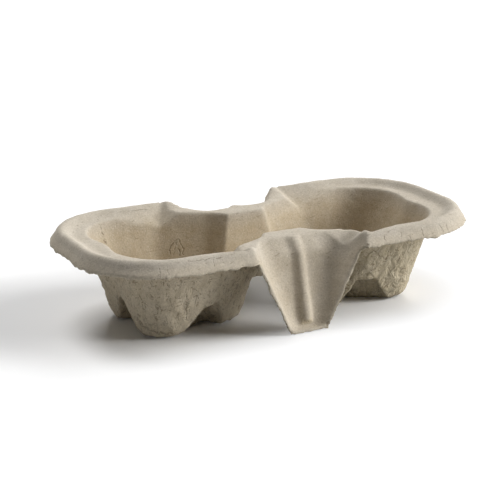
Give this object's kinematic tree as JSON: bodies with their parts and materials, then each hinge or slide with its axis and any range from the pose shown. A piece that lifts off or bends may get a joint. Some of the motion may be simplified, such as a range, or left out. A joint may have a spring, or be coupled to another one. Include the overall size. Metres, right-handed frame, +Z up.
{
  "type": "moulded pulp cup carrier",
  "caption": "Moulded paper-pulp carrier with a pair of tapered cup wells joined by a shallow channel, a flared rim and a finger pocket in each long side.",
  "frame": {"origin": "on the floor that the feet stand on, below the middle of the tray", "axes": "+X along the tray from one cup well to the other, +Y across it towards one finger pocket, +Z up out of the wells"},
  "size_m": [0.2222, 0.1092, 0.049],
  "materials": {
    "pulp": "matt, fibrous, greyish brown recycled pulp"
  },
  "bodies": {
    "root": {"cup_carrier": "pulp"}
  },
  "joints": []
}
